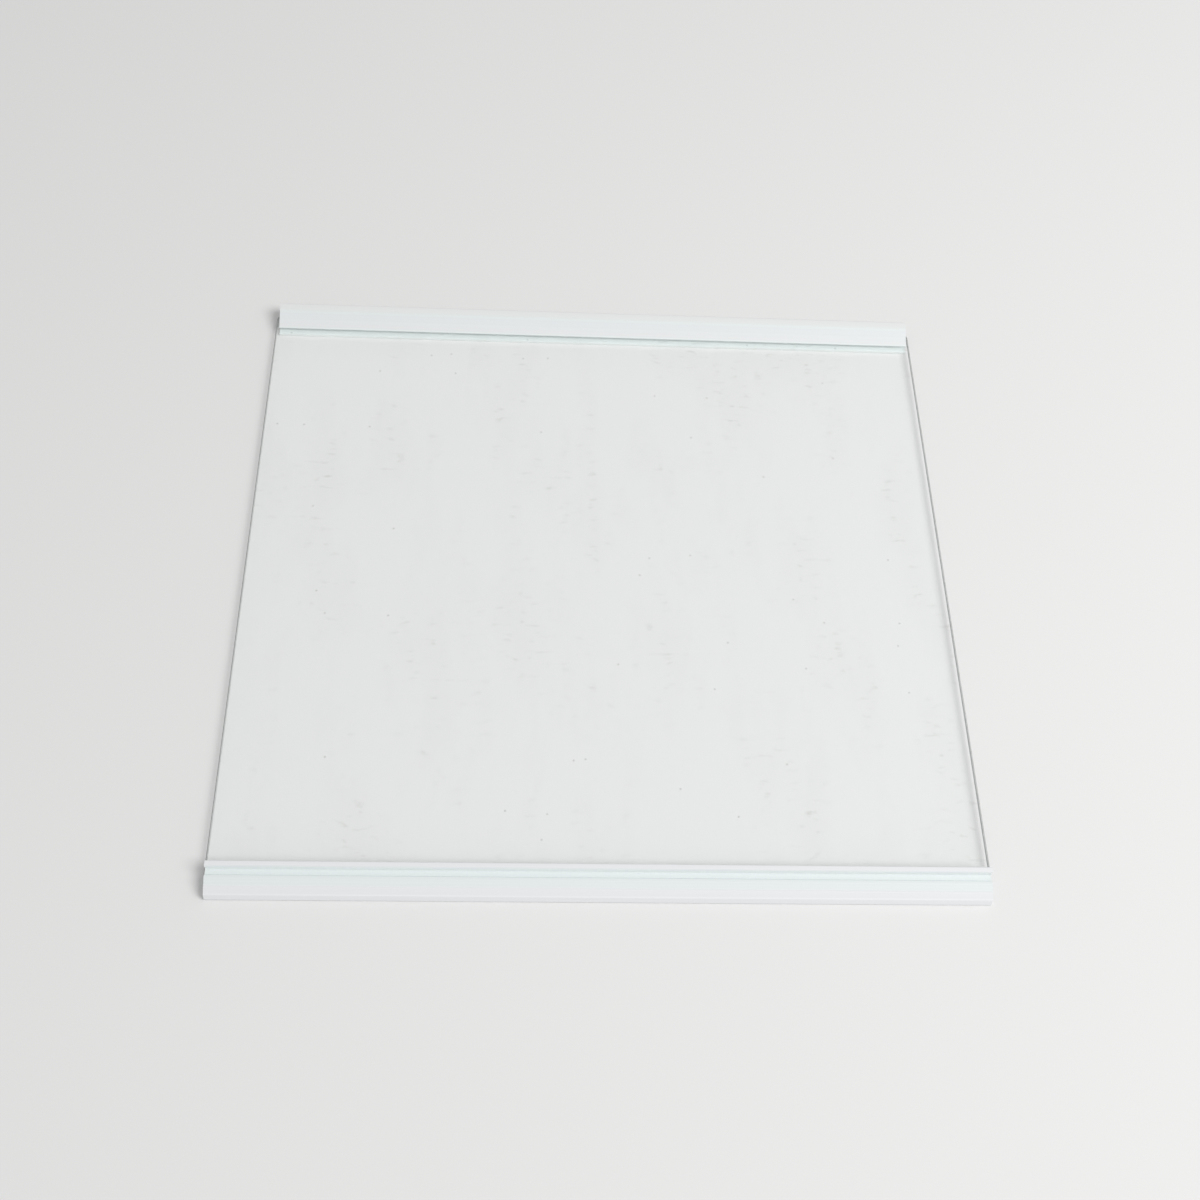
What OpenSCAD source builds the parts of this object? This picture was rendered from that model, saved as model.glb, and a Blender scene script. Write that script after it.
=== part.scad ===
// Freezer shelf: a clear glass pane held between two hollow plastic trims.
// X runs along the trims, Y from front to back, Z up from the underside of the trims.
// The origin is at the middle of the footprint, on the plane that the trims rest on.

/* [Glass pane] */
// Width of the pane, from side to side
glass_w = 450; // [250:5:700]
// Depth of the pane, with the edges that the trims hide
glass_d = 412; // [200:2:600]
// Thickness of the pane
glass_t = 4; // [3:0.5:6]
// Width of the ground bevel along every edge of the pane
glass_bevel = 0.8; // [0.3:0.1:1.2]
// Radius of the pane's four corners in plan
glass_corner_r = 3; // [1:0.5:6]

/* [Both trims] */
// Wall thickness around the hollow chambers
wall = 1.5; // [1:0.1:1.8]
// Thickness of the leg that passes under the pane
leg_t = 2; // [1.6:0.1:3]
// Play between the pane's top face and the slot's roof
slot_play = 0.15; // [0.05:0.05:0.3]

/* [Front trim] */
// How far each end of the front trim stops short of the pane's side edge
front_end_gap = 1; // [0:0.5:6]
// How far the pane's front edge runs into the front trim
front_slot = 8.5; // [7:0.5:11]
// Depth of the rounded nose that stands in front of the pane's slot
nose_d = 10.8; // [10:0.1:15]
// Thickness of the plastic over the pane, in the valley behind the nose
valley_t = 1.85; // [1:0.05:2.4]
// Height of the rear lip above the valley
lip_h = 4; // [2:0.2:7]
// Thickness of the rear lip
lip_t = 3.4; // [2:0.1:4]
// Height of the nose's crest above the valley
crest_h = 1; // [0.6:0.1:2.4]
// Lean of the nose's front face, measured along the floor
face_lean = 1.9; // [0.6:0.1:3]

/* [Rear trim] */
// How far each end of the rear trim stops short of the pane's side edge
rear_end_gap = 2.4; // [0:0.2:6]
// How far the pane's rear edge runs into the rear trim
rear_slot = 12; // [8:0.5:16]
// Depth of the hollow back, measured behind the slot
back_d = 7.2; // [6.2:0.2:12]
// Depth of the level band between the crest and the back
band_d = 6.8; // [5:0.1:9]
// Height of the crest above the pane's top face
back_h = 6; // [5:0.2:12]
// Thickness of the rear trim's feather edge on the pane
feather_t = 0.75; // [0.5:0.05:1.2]
// How far the rear trim's leg reaches past its feather edge, under the pane
rear_leg_reach = 3; // [1:0.5:8]

/* [Hidden] */
$fn = 96;

// Heights above the trims' underside
pane_top_z = leg_t + glass_t;
slot_top_z = pane_top_z + slot_play;
valley_z = slot_top_z + valley_t;
crest_z = valley_z + crest_h;
lip_z = valley_z + lip_h;
rear_z = pane_top_z + back_h;

// Depths of the two sections, from the lip that shows on the pane to the outer face
front_d = front_slot + nose_d;
rear_d = rear_slot + back_d;

// The middle of the whole footprint lies at y = 0
pane_y = (nose_d - back_d) / 2;
front_lip_y = pane_y - glass_d / 2 + front_slot;
rear_lip_y = pane_y + glass_d / 2 - rear_slot;

// Rounding of each trim's outer bottom edge, and of the lower edge of its leg
foot_r = 1.1;
leg_r = 0.4;
// Smallest rounding inside the chambers
chamber_r = 0.4;

// Front trim: roundings of the lip's top edges and of its foot in the valley
lip_r = 0.9;
valley_r = 0.5;
// How much wider the lip is at its foot than at its top
lip_draft = 0.3;
// The step from the valley up to the crest: its foot and top, measured behind the slot's
// end, and their roundings
step_foot = 1.4;
step_top = 0.9;
step_foot_r = 0.4;
step_top_r = 0.5;
// Along the nose's top, in shares of its depth: end of the crest, groove and bulge
crest_share = 0.1;
groove_share = 0.41;
bulge_share = 0.53;
// Roundings at the same places, and at the top of the nose's front face
crest_r = 1.5;
groove_r = 0.6;
bulge_r = 1.2;
face_r = 1.5;
// Drops below the crest: the groove, the bulge and the top of the nose's front face
groove_drop = 1.8;
bulge_drop = 1.5;
face_drop = 3.9;
face_top_z = crest_z - face_drop;

// Rear trim: roundings of the back, the crest and the feather edge
back_r = 2.6;
rear_crest_r = 2;
feather_r = 0.3;

// How far the runs that are cut to the pane's outline reach past it
overrun = 5;

// Unit vector from one point to another
function toward(a, b) = (b - a) / norm(b - a);

// Tangent of half the angle between the two sides that meet at b
function half_tan(a, b, c) =
    let (u = toward(b, a), v = toward(b, c))
    sqrt((1 - u * v) / (1 + u * v));

// Sine of the same half angle
function half_sin(a, b, c) =
    let (u = toward(b, a), v = toward(b, c))
    sqrt((1 - u * v) / 2);

// How far the sharp corner of the leaning face stands past its rounded foot
foot_gain = foot_r / half_tan([face_lean, face_top_z], [0, 0], [1, 0]) - foot_r;

// Where an arc of radius r leaves the side from b to a
function tangent_point(a, b, c, r) = b + toward(b, a) * r / half_tan(a, b, c);

// Centre of the arc of radius r that rounds the corner b
function arc_centre(a, b, c, r) =
    b + toward([0, 0], toward(b, a) + toward(b, c)) * r / half_sin(a, b, c);

// Positive where the outline turns left at b
function turn(a, b, c) = (b[0] - a[0]) * (c[1] - b[1]) - (b[1] - a[1]) * (c[0] - b[0]);

function corner_at(list, i) = list[(i + len(list)) % len(list)];
function spot(list, i) = [corner_at(list, i)[0], corner_at(list, i)[1]];

// The pie slice, centre included, that fills or clears the rounding of corner i
module corner_slice(outline, i) {
    a = spot(outline, i - 1);
    b = spot(outline, i);
    c = spot(outline, i + 1);
    r = outline[i][2];
    centre = arc_centre(a, b, c, r);
    intersection() {
        translate(centre)
            circle(r);
        polygon([centre, tangent_point(a, b, c, r), b, tangent_point(c, b, a, r)]);
    }
}

// A closed outline of corners [x, y, radius], listed anticlockwise, with true arcs
module rounded_outline(outline) {
    count = len(outline);
    chords = [
        for (i = [0 : count - 1])
            let (a = spot(outline, i - 1), b = spot(outline, i), c = spot(outline, i + 1))
            for (p = outline[i][2] > 0
                ? [tangent_point(a, b, c, outline[i][2]), tangent_point(c, b, a, outline[i][2])]
                : [b])
                p
    ];
    difference() {
        union() {
            polygon(chords);
            for (i = [0 : count - 1])
                if (outline[i][2] > 0 && turn(spot(outline, i - 1), spot(outline, i), spot(outline, i + 1)) > 0)
                    corner_slice(outline, i);
        }
        for (i = [0 : count - 1])
            if (outline[i][2] > 0 && turn(spot(outline, i - 1), spot(outline, i), spot(outline, i + 1)) < 0)
                corner_slice(outline, i);
    }
}

// Corner b moved inwards by t, so that both its sides move in by t
function inset_point(a, b, c, t) =
    let (s = turn(a, b, c) > 0 ? 1 : -1)
    b + toward([0, 0], toward(b, a) + toward(b, c)) * s * t / half_sin(a, b, c);

// An outline moved inwards by t, with its radii kept concentric
function inset(outline, t) = [
    for (i = [0 : len(outline) - 1])
        let (
            a = spot(outline, i - 1),
            b = spot(outline, i),
            c = spot(outline, i + 1),
            p = inset_point(a, b, c, t),
            r = outline[i][2],
            grown = turn(a, b, c) > 0 ? max(r - t, chamber_r) : r + t
        )
        [p[0], p[1], grown]
];

// Stands a section drawn as [depth, height] upright and runs it along X
module run_along_x(length) {
    translate([-length / 2, 0, 0])
        rotate([90, 0, 90])
            linear_extrude(length)
                children();
}

// Pane: three straight runs meet, so that every edge keeps its ground bevel
module bevelled_strip(span, thick, bevel) {
    polygon([
        [-span / 2, bevel],
        [-span / 2 + bevel, 0],
        [span / 2 - bevel, 0],
        [span / 2, bevel],
        [span / 2, thick - bevel],
        [span / 2 - bevel, thick],
        [-span / 2 + bevel, thick],
        [-span / 2, thick - bevel]
    ]);
}

module glass_pane() {
    color([0.80, 0.92, 0.90, 0.35])
        translate([0, pane_y, leg_t])
            intersection() {
                run_along_x(glass_w + 2 * overrun)
                    bevelled_strip(glass_d, glass_t, glass_bevel);
                rotate([90, 0, 0])
                    linear_extrude(glass_d + 2 * overrun, center = true)
                        bevelled_strip(glass_w, glass_t, glass_bevel);
                linear_extrude(glass_t)
                    rounded_outline([
                        [-glass_w / 2, -glass_d / 2, glass_corner_r],
                        [glass_w / 2, -glass_d / 2, glass_corner_r],
                        [glass_w / 2, glass_d / 2, glass_corner_r],
                        [-glass_w / 2, glass_d / 2, glass_corner_r]
                    ]);
            }
}

// Front section, drawn with its lip at 0 and its nose towards negative depth
module front_section() {
    nose_foot = [-front_d - foot_gain, 0, foot_r];
    nose_top = [
        [-front_slot - nose_d * groove_share, crest_z - groove_drop, groove_r],
        [-front_slot - nose_d * bulge_share, crest_z - bulge_drop, bulge_r],
        [-front_d - foot_gain + face_lean, face_top_z, face_r]
    ];
    grip_and_lip = [
        [0, 0, leg_r],
        [0, leg_t, 0],
        [-front_slot, leg_t, 0],
        [-front_slot, slot_top_z, 0],
        [0, slot_top_z, 0],
        [0, lip_z, lip_r],
        [-lip_t, lip_z, lip_r],
        [-lip_t - lip_draft, valley_z, valley_r]
    ];
    step_and_crest = [
        [-front_slot + step_foot, valley_z, step_foot_r],
        [-front_slot + step_top, crest_z, step_top_r],
        [-front_slot - nose_d * crest_share, crest_z, crest_r]
    ];
    // The chamber's roof follows the slope below the crest back to the slot's end
    roof_z = crest_z + groove_drop * crest_share / (groove_share - crest_share);
    around_chamber = concat([nose_foot, [-front_slot, 0, 0], [-front_slot, roof_z, 0]], nose_top);
    difference() {
        rounded_outline(concat([nose_foot], grip_and_lip, step_and_crest, nose_top));
        rounded_outline(inset(around_chamber, wall));
    }
}

module front_trim() {
    color([0.93, 0.94, 0.94])
        translate([0, front_lip_y, 0])
            run_along_x(glass_w - 2 * front_end_gap)
                front_section();
}

// Rear section, drawn with its feather edge at 0 and its back towards positive depth
module rear_section() {
    crest_at = rear_d - band_d;
    feather_z = slot_top_z + feather_t;
    // Where the line of the slope would reach the slot's roof
    tip_at = -crest_at * feather_t / (rear_z - feather_z);
    back_and_crest = [
        [rear_d, 0, foot_r],
        [rear_d, rear_z, back_r],
        [crest_at, rear_z, rear_crest_r]
    ];
    outline = concat([[-rear_leg_reach, 0, leg_r]], back_and_crest, [
        [0, feather_z, feather_r],
        [0, slot_top_z, 0],
        [rear_slot, slot_top_z, 0],
        [rear_slot, leg_t, 0],
        [-rear_leg_reach, leg_t, 0]
    ]);
    around_chamber = concat([[rear_slot, 0, 0]], back_and_crest, [
        [tip_at, slot_top_z, 0],
        [rear_slot, slot_top_z, 0]
    ]);
    difference() {
        rounded_outline(outline);
        rounded_outline(inset(around_chamber, wall));
    }
}

module rear_trim() {
    color([0.93, 0.94, 0.94])
        translate([0, rear_lip_y, 0])
            run_along_x(glass_w - 2 * rear_end_gap)
                rear_section();
}

glass_pane();
front_trim();
rear_trim();
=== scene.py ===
import bpy
from mathutils import Matrix, Vector


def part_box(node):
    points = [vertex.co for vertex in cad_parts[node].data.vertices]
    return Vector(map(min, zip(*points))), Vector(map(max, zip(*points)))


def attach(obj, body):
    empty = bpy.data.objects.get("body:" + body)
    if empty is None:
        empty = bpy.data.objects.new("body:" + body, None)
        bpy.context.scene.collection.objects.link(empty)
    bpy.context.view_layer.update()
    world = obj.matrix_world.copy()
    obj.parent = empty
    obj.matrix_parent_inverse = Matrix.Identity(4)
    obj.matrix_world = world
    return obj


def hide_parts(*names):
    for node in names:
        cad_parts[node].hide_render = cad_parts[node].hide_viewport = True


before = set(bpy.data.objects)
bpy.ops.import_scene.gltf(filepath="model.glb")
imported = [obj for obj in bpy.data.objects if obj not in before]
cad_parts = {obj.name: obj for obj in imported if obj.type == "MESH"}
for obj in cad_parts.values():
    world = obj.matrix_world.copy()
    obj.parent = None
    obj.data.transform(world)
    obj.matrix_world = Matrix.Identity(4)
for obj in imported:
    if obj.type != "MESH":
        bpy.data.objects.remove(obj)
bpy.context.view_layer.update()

scene = bpy.context.scene
scene.view_settings.view_transform = "Standard"


# Camera
# It stands in front of the shelf and above it, a little left of its middle, and
# looks down steeply, as the photograph was taken.
camera_lens = bpy.data.cameras.new("camera")
camera_lens.lens = 42.6
camera_lens.sensor_width = 36
camera = bpy.data.objects.new("camera", camera_lens)
scene.collection.objects.link(camera)
camera_place = Matrix.Translation((-0.05190, -0.47072, 0.78305))
camera_right = Vector((0.998155, -0.012034, 0.059510))
camera_up = Vector((-0.019452, 0.865109, 0.501207))
camera_turn = Matrix((camera_right, camera_up, camera_right.cross(camera_up))).transposed()
camera.matrix_world = camera_place @ camera_turn.to_4x4()
scene.camera = camera


# Floor
# One large sheet of pale matt paper, on which both trims rest.
bpy.ops.object.select_all(action="DESELECT")
bpy.ops.mesh.primitive_plane_add(size=8)
floor = bpy.context.object
floor.name = "floor"
paper = bpy.data.materials.new("floor_paper")
paper.use_nodes = True
paper_shader = paper.node_tree.nodes["Principled BSDF"]
paper_shader.inputs["Base Color"].default_value = (0.80, 0.797, 0.793, 1)
paper_shader.inputs["Roughness"].default_value = 0.9
paper_shader.inputs["Specular IOR Level"].default_value = 0.1
floor.data.materials.append(paper)


# Studio light
# A soft white surround fills every side, and one large soft lamp above, on the right
# and a little in front, gives the short shadows. The surround shows as white behind
# the shelf and in its glass, but lights it at a plain level.
fill_level = 0.52
backdrop_level = 1.0
studio = bpy.data.worlds.new("studio")
scene.world = studio
studio.use_nodes = True
nodes = studio.node_tree.nodes
links = studio.node_tree.links
nodes["Background"].inputs["Color"].default_value = (1, 1, 1, 1)
ray = nodes.new("ShaderNodeLightPath")
seen_or_mirrored = nodes.new("ShaderNodeMath")
seen_or_mirrored.operation = "MAXIMUM"
seen_at_all = nodes.new("ShaderNodeMath")
seen_at_all.operation = "MAXIMUM"
level = nodes.new("ShaderNodeMapRange")
level.inputs["To Min"].default_value = fill_level
level.inputs["To Max"].default_value = backdrop_level
links.new(ray.outputs["Is Camera Ray"], seen_or_mirrored.inputs[0])
links.new(ray.outputs["Is Glossy Ray"], seen_or_mirrored.inputs[1])
links.new(seen_or_mirrored.outputs[0], seen_at_all.inputs[0])
links.new(ray.outputs["Is Transmission Ray"], seen_at_all.inputs[1])
links.new(seen_at_all.outputs[0], level.inputs["Value"])
links.new(level.outputs["Result"], nodes["Background"].inputs["Strength"])

softbox_light = bpy.data.lights.new("softbox", "AREA")
softbox_light.shape = "DISK"
softbox_light.size = 1.9
softbox_light.energy = 60
softbox = bpy.data.objects.new("softbox", softbox_light)
softbox.location = (1.8, -0.7, 2.4)
softbox.rotation_euler = softbox.location.to_track_quat("Z", "Y").to_euler()
scene.collection.objects.link(softbox)


# Glass pane
# One sheet of clear toughened float glass, 4 mm thick. It is cut to size, its corners
# are rounded and its edges are ground matt with a fine bevel before toughening.
pane_corner_radius = 0.003
pane_bevel = 0.0008
resting_gap = 0.00005
pane_low, pane_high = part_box("glass_pane")
pane_low.z += resting_gap
bpy.ops.object.select_all(action="DESELECT")
bpy.ops.mesh.primitive_cube_add(size=1, location=(pane_low + pane_high) / 2)
pane = bpy.context.object
pane.name = "pane"
pane.scale = pane_high - pane_low
bpy.ops.object.transform_apply(location=True, rotation=True, scale=True)

# The four upright edges are rounded first, then both rims are bevelled.
for rounding, upright, steps in ((pane_corner_radius, True, 6), (pane_bevel, False, 1)):
    bpy.ops.object.mode_set(mode="EDIT")
    bpy.ops.mesh.select_mode(type="EDGE")
    bpy.ops.mesh.select_all(action="DESELECT")
    bpy.ops.object.mode_set(mode="OBJECT")
    for edge in pane.data.edges:
        first, second = (pane.data.vertices[i].co for i in edge.vertices)
        rises = abs(first.z - second.z) > pane_bevel
        edge.select = rises == upright
    bpy.ops.object.mode_set(mode="EDIT")
    bpy.ops.mesh.bevel(offset=rounding, offset_type="OFFSET", segments=steps, affect="EDGES")
    bpy.ops.object.mode_set(mode="OBJECT")

# Clear faces: glass that lets the lamp through without noise.
glass_tint = (0.992, 0.999, 0.998, 1)
clear_glass = bpy.data.materials.new("clear_glass")
clear_glass.use_nodes = True
nodes = clear_glass.node_tree.nodes
links = clear_glass.node_tree.links
body = nodes["Principled BSDF"]
body.inputs["Base Color"].default_value = glass_tint
body.inputs["Roughness"].default_value = 0.0
body.inputs["IOR"].default_value = 1.52
body.inputs["Transmission Weight"].default_value = 1.0
passing = nodes.new("ShaderNodeBsdfTransparent")
passing.inputs["Color"].default_value = glass_tint
ray = nodes.new("ShaderNodeLightPath")
lighting_ray = nodes.new("ShaderNodeMath")
lighting_ray.operation = "MAXIMUM"
glass = nodes.new("ShaderNodeMixShader")
links.new(ray.outputs["Is Shadow Ray"], lighting_ray.inputs[0])
links.new(ray.outputs["Is Diffuse Ray"], lighting_ray.inputs[1])
links.new(lighting_ray.outputs[0], glass.inputs[0])
links.new(body.outputs[0], glass.inputs[1])
links.new(passing.outputs[0], glass.inputs[2])
links.new(glass.outputs[0], nodes["Material Output"].inputs["Surface"])
pane.data.materials.append(clear_glass)

# Upper face: the same glass under a thin film of dust, wiped from front to back, with
# faint smears where the film is thickest and a few specks.
dirt_tone = (0.60, 0.60, 0.57, 1)
upper_glass = clear_glass.copy()
upper_glass.name = "upper_glass"
nodes = upper_glass.node_tree.nodes
links = upper_glass.node_tree.links
place = nodes.new("ShaderNodeTexCoord")
wiping = nodes.new("ShaderNodeMapping")
wiping.inputs["Scale"].default_value = (26, 9, 1)
film = nodes.new("ShaderNodeTexNoise")
film.noise_dimensions = "2D"
film.inputs["Scale"].default_value = 1
film.inputs["Detail"].default_value = 4
film.inputs["Roughness"].default_value = 0.6
film_share = nodes.new("ShaderNodeMapRange")
film_share.inputs["From Min"].default_value = 0.46
film_share.inputs["From Max"].default_value = 0.72
thin_film = nodes.new("ShaderNodeMath")
thin_film.operation = "MULTIPLY"
thin_film.inputs[1].default_value = 0.10
rubbing = nodes.new("ShaderNodeMapping")
rubbing.inputs["Scale"].default_value = (110, 250, 1)
smears = nodes.new("ShaderNodeTexNoise")
smears.noise_dimensions = "2D"
smears.inputs["Scale"].default_value = 1
smears.inputs["Detail"].default_value = 4
smear_share = nodes.new("ShaderNodeMapRange")
smear_share.inputs["From Min"].default_value = 0.57
smear_share.inputs["From Max"].default_value = 0.90
smears_left = nodes.new("ShaderNodeMath")
smears_left.operation = "MULTIPLY"
specks = nodes.new("ShaderNodeTexVoronoi")
specks.voronoi_dimensions = "2D"
specks.inputs["Scale"].default_value = 62
speck_share = nodes.new("ShaderNodeMapRange")
speck_share.inputs["From Min"].default_value = 0.06
speck_share.inputs["From Max"].default_value = 0.025
speck_share.inputs["To Max"].default_value = 0.8
picked = nodes.new("ShaderNodeMath")
picked.operation = "GREATER_THAN"
picked.inputs[1].default_value = 0.82
specks_left = nodes.new("ShaderNodeMath")
specks_left.operation = "MULTIPLY"
marks = nodes.new("ShaderNodeMath")
marks.operation = "MAXIMUM"
dirt = nodes.new("ShaderNodeMath")
dirt.operation = "MAXIMUM"
tint = nodes.new("ShaderNodeMix")
tint.data_type = "RGBA"
tint.inputs["A"].default_value = glass_tint
tint.inputs["B"].default_value = dirt_tone
links.new(place.outputs["Object"], wiping.inputs["Vector"])
links.new(place.outputs["Object"], rubbing.inputs["Vector"])
links.new(place.outputs["Object"], specks.inputs["Vector"])
links.new(wiping.outputs["Vector"], film.inputs["Vector"])
links.new(rubbing.outputs["Vector"], smears.inputs["Vector"])
links.new(film.outputs["Fac"], film_share.inputs["Value"])
links.new(film_share.outputs["Result"], thin_film.inputs[0])
links.new(smears.outputs["Fac"], smear_share.inputs["Value"])
links.new(smear_share.outputs["Result"], smears_left.inputs[0])
links.new(film_share.outputs["Result"], smears_left.inputs[1])
links.new(specks.outputs["Distance"], speck_share.inputs["Value"])
links.new(specks.outputs["Color"], picked.inputs[0])
links.new(speck_share.outputs["Result"], specks_left.inputs[0])
links.new(picked.outputs[0], specks_left.inputs[1])
links.new(specks_left.outputs[0], marks.inputs[0])
links.new(smears_left.outputs[0], marks.inputs[1])
links.new(marks.outputs[0], dirt.inputs[0])
links.new(thin_film.outputs[0], dirt.inputs[1])
links.new(dirt.outputs[0], tint.inputs["Factor"])
links.new(tint.outputs["Result"], nodes["Principled BSDF"].inputs["Base Color"])
pane.data.materials.append(upper_glass)

# Ground rim: matt and pale, with the marks of the wheel. The dark band along its outermost line
# is painted shade, and the paler top bevel is painted light.
# Half of the lamp's light passes through it.
ground_rim = bpy.data.materials.new("ground_rim")
ground_rim.use_nodes = True
nodes = ground_rim.node_tree.nodes
links = ground_rim.node_tree.links
nodes.remove(nodes["Principled BSDF"])
place = nodes.new("ShaderNodeTexCoord")
height = nodes.new("ShaderNodeSeparateXYZ")
up_the_rim = nodes.new("ShaderNodeMapRange")
up_the_rim.inputs["From Min"].default_value = pane_low.z
up_the_rim.inputs["From Max"].default_value = pane_high.z
# Painted shade: a dark band along the outer line of the top bevel; the top bevel above it is
# painted paler as painted light.
rim_tone_and_painted_shade = nodes.new("ShaderNodeValToRGB")
stops = rim_tone_and_painted_shade.color_ramp.elements
stops[0].position = 0.79
stops[0].color = (0.64, 0.66, 0.65, 1)
stops[1].position = 0.89
stops[1].color = (0.74, 0.76, 0.75, 1)
for height_share, shade in ((0.805, (0.37, 0.37, 0.365, 1)), (0.86, (0.40, 0.40, 0.395, 1))):
    stops.new(height_share).color = shade
wheel_marks = nodes.new("ShaderNodeTexNoise")
wheel_marks.inputs["Scale"].default_value = 320
wheel_marks.inputs["Detail"].default_value = 3
marked = nodes.new("ShaderNodeMix")
marked.data_type = "RGBA"
marked.blend_type = "MULTIPLY"
marked.inputs["Factor"].default_value = 0.35
matt_side = nodes.new("ShaderNodeBsdfDiffuse")
glow_side = nodes.new("ShaderNodeBsdfTranslucent")
matt = nodes.new("ShaderNodeMixShader")
matt.inputs[0].default_value = 0.25
ray = nodes.new("ShaderNodeLightPath")
let_through = nodes.new("ShaderNodeMath")
let_through.operation = "MULTIPLY"
let_through.inputs[1].default_value = 0.5
passing = nodes.new("ShaderNodeBsdfTransparent")
rim = nodes.new("ShaderNodeMixShader")
links.new(place.outputs["Object"], height.inputs[0])
links.new(place.outputs["Object"], wheel_marks.inputs["Vector"])
links.new(height.outputs["Z"], up_the_rim.inputs["Value"])
links.new(up_the_rim.outputs["Result"], rim_tone_and_painted_shade.inputs["Fac"])
links.new(rim_tone_and_painted_shade.outputs["Color"], marked.inputs["A"])
links.new(wheel_marks.outputs["Fac"], marked.inputs["B"])
links.new(marked.outputs["Result"], matt_side.inputs["Color"])
links.new(marked.outputs["Result"], glow_side.inputs["Color"])
links.new(matt_side.outputs[0], matt.inputs[1])
links.new(glow_side.outputs[0], matt.inputs[2])
links.new(ray.outputs["Is Shadow Ray"], let_through.inputs[0])
links.new(let_through.outputs[0], rim.inputs[0])
links.new(matt.outputs[0], rim.inputs[1])
links.new(passing.outputs[0], rim.inputs[2])
links.new(rim.outputs[0], nodes["Material Output"].inputs["Surface"])
pane.data.materials.append(ground_rim)

# The underside is clear, the top has the film, and the sides and bevels are the rim.
flat = 0.99
for face in pane.data.polygons:
    if face.normal.z < -flat:
        face.material_index = 0
    elif face.normal.z > flat:
        face.material_index = 1
    else:
        face.material_index = 2
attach(pane, "root")
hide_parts("glass_pane")


# Front trim
# One length of white plastic, extruded hollow, sawn off square at both ends and
# pushed onto the pane's front edge. Its lip stops things from sliding forward.
front_low, front_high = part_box("front_trim")

# Tones of the section, each with its place from the front (0) to the back (1). Several are
# painted light and shade, set zone by zone to how bright each face should look.
front_tones_and_painted_light = (
    # Outer face, painted brighter as painted light, and the nose with its bulge and groove
    (0.08, (0.888, 0.900, 0.913)), (0.12, (0.808, 0.820, 0.834)), (0.30, (0.812, 0.824, 0.838)),
    # Crest, step and valley, with a faint painted green glow where the pane lies under the
    # plastic, and the valley painted darker as painted shade
    (0.37, (0.785, 0.828, 0.832)), (0.50, (0.785, 0.828, 0.832)),
    (0.56, (0.760, 0.804, 0.806)), (0.803, (0.760, 0.804, 0.806)),
    # Upright face of the lip, painted brighter as painted light, and the lip's top
    (0.809, (0.925, 0.970, 0.972)), (0.822, (0.925, 0.970, 0.972)),
    (0.835, (0.790, 0.812, 0.822)), (0.88, (0.812, 0.822, 0.832)),
)


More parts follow.
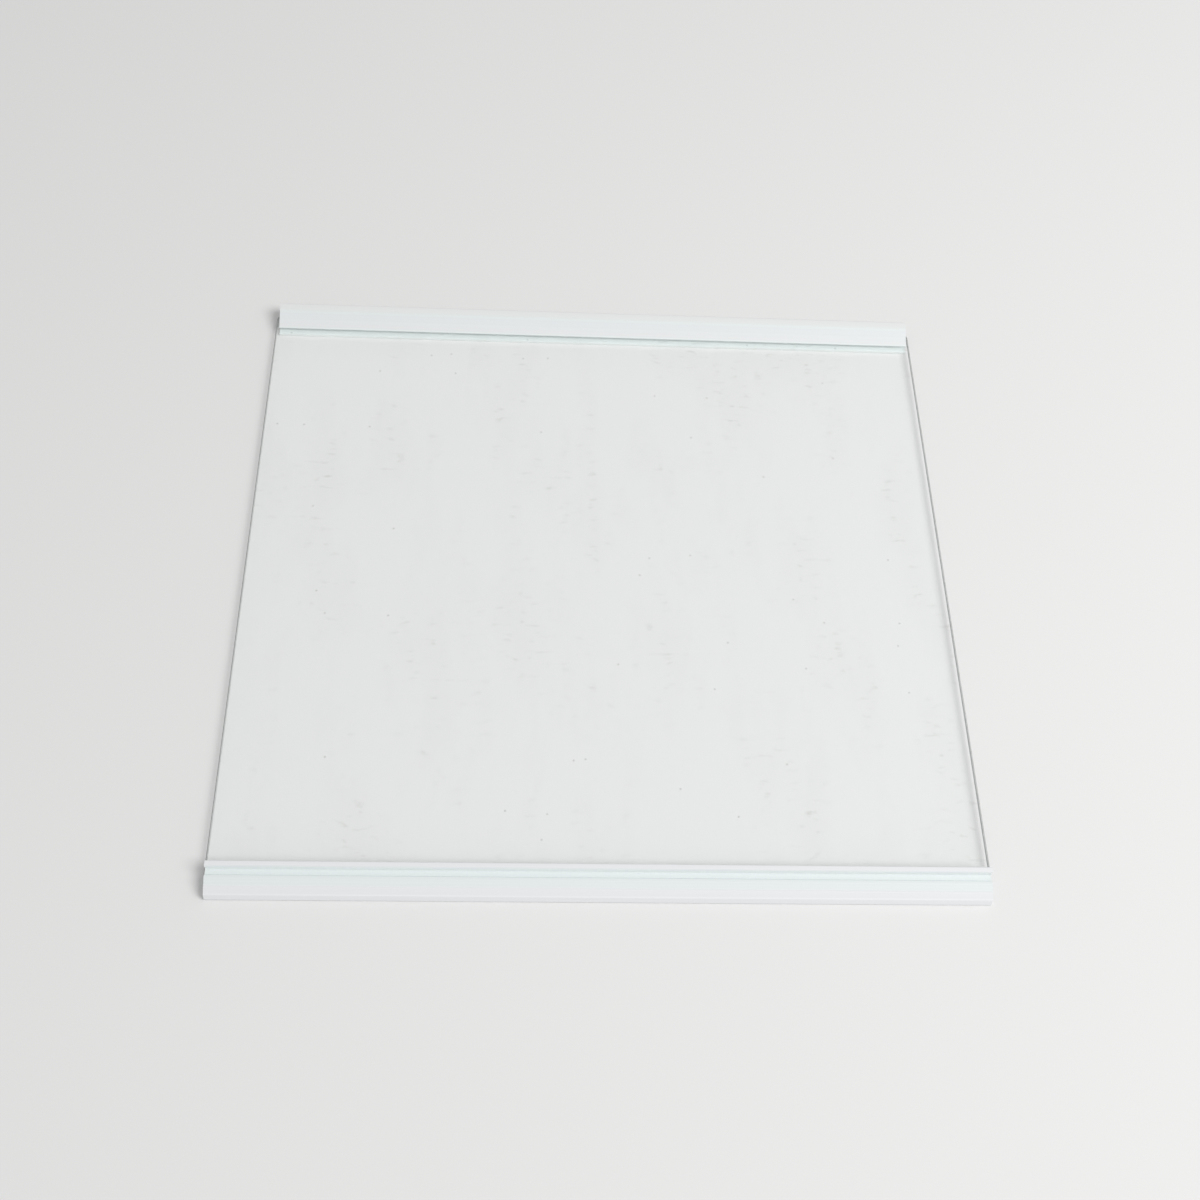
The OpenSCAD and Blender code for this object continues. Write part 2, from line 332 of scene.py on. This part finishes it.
def extruded_plastic(name, low, high, section_tones_and_painted_light):
    # Both trims are of this plastic, each with the tones of its own section, several of them
    # painted light and shade.
    plastic = bpy.data.materials.new(name)
    plastic.use_nodes = True
    nodes = plastic.node_tree.nodes
    links = plastic.node_tree.links
    skin = nodes["Principled BSDF"]
    skin.inputs["Specular IOR Level"].default_value = 0.35
    place = nodes.new("ShaderNodeTexCoord")
    across = nodes.new("ShaderNodeSeparateXYZ")
    across.name = "across"
    depth = nodes.new("ShaderNodeMapRange")
    depth.inputs["From Min"].default_value = low.y
    depth.inputs["From Max"].default_value = high.y
    painted_tone_ramp = nodes.new("ShaderNodeValToRGB")
    painted_tone_ramp.name = "painted_tone_ramp"
    stops = painted_tone_ramp.color_ramp.elements
    for stop, (share, white) in ((stops[0], section_tones_and_painted_light[0]), (stops[1], section_tones_and_painted_light[-1])):
        stop.position = share
        stop.color = (*white, 1)
    for share, white in section_tones_and_painted_light[1:-1]:
        stops.new(share).color = (*white, 1)

    # The die leaves fine lines along the whole length, and the surface is a little uneven.
    stretch = nodes.new("ShaderNodeMapping")
    stretch.inputs["Scale"].default_value = (0.7, 800, 800)
    die_lines = nodes.new("ShaderNodeTexNoise")
    die_lines.inputs["Scale"].default_value = 1
    die_lines.inputs["Detail"].default_value = 2
    lined = nodes.new("ShaderNodeMix")
    lined.name = "lined"
    lined.data_type = "RGBA"
    lined.blend_type = "MULTIPLY"
    lined.inputs["Factor"].default_value = 0.05
    gloss = nodes.new("ShaderNodeMapRange")
    gloss.inputs["To Min"].default_value = 0.40
    gloss.inputs["To Max"].default_value = 0.60
    relief = nodes.new("ShaderNodeBump")
    relief.inputs["Strength"].default_value = 0.12
    relief.inputs["Distance"].default_value = 0.00006
    links.new(place.outputs["Object"], across.inputs[0])
    links.new(place.outputs["Object"], stretch.inputs["Vector"])
    links.new(across.outputs["Y"], depth.inputs["Value"])
    links.new(depth.outputs["Result"], painted_tone_ramp.inputs["Fac"])
    links.new(stretch.outputs["Vector"], die_lines.inputs["Vector"])
    links.new(painted_tone_ramp.outputs["Color"], lined.inputs["A"])
    links.new(die_lines.outputs["Fac"], lined.inputs["B"])
    links.new(die_lines.outputs["Fac"], gloss.inputs["Value"])
    links.new(die_lines.outputs["Fac"], relief.inputs["Height"])
    links.new(lined.outputs["Result"], skin.inputs["Base Color"])
    links.new(gloss.outputs["Result"], skin.inputs["Roughness"])
    links.new(relief.outputs["Normal"], skin.inputs["Normal"])
    return plastic


front_plastic = extruded_plastic("front_plastic", front_low, front_high, front_tones_and_painted_light)
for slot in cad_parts["front_trim"].material_slots:
    slot.material = front_plastic


# Rear trim
# One length of the same plastic, extruded hollow, sawn off square and pushed onto the
# pane's rear edge. A long slope rises from its thin front edge to the back.
rear_low, rear_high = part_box("rear_trim")
# Tones of this section, several of them painted light, as for the front trim.
rear_tones_and_painted_light = (
    # Front face of the leg under the pane, painted brighter as a painted highlight
    (0.05, (0.925, 0.975, 0.960)),
    # Feather edge, painted brighter and green as painted light from the glass, and the slope
    (0.12, (0.840, 0.895, 0.887)), (0.155, (0.805, 0.858, 0.850)),
    (0.19, (0.800, 0.818, 0.821)), (0.56, (0.786, 0.812, 0.824)),
    # A green line over the pane's rear edge, painted light from the pane below, and the level
    # band behind it
    (0.63, (0.776, 0.818, 0.816)), (0.68, (0.788, 0.824, 0.818)), (0.75, (0.812, 0.823, 0.818)),
)
rear_plastic = extruded_plastic("rear_plastic", rear_low, rear_high, rear_tones_and_painted_light)

# The leg's top is seen through the pane, as a greener strip in front of the feather edge. Its
# colour is painted brighter and greener, as painted light standing in for light carried inside
# the glass.
leg_top_height = 0.002
height_play = 0.0001
nodes = rear_plastic.node_tree.nodes
links = rear_plastic.node_tree.links
leg_top = nodes.new("ShaderNodeMath")
leg_top.operation = "COMPARE"
leg_top.inputs[1].default_value = leg_top_height
leg_top.inputs[2].default_value = height_play
leg_strip_painted_light = nodes.new("ShaderNodeMix")
leg_strip_painted_light.data_type = "RGBA"
leg_strip_painted_light.inputs["B"].default_value = (0.90, 0.962, 0.952, 1)
links.new(nodes["across"].outputs["Z"], leg_top.inputs[0])
links.new(leg_top.outputs[0], leg_strip_painted_light.inputs["Factor"])
links.new(nodes["painted_tone_ramp"].outputs["Color"], leg_strip_painted_light.inputs["A"])
links.new(leg_strip_painted_light.outputs["Result"], nodes["lined"].inputs["A"])
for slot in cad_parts["rear_trim"].material_slots:
    slot.material = rear_plastic
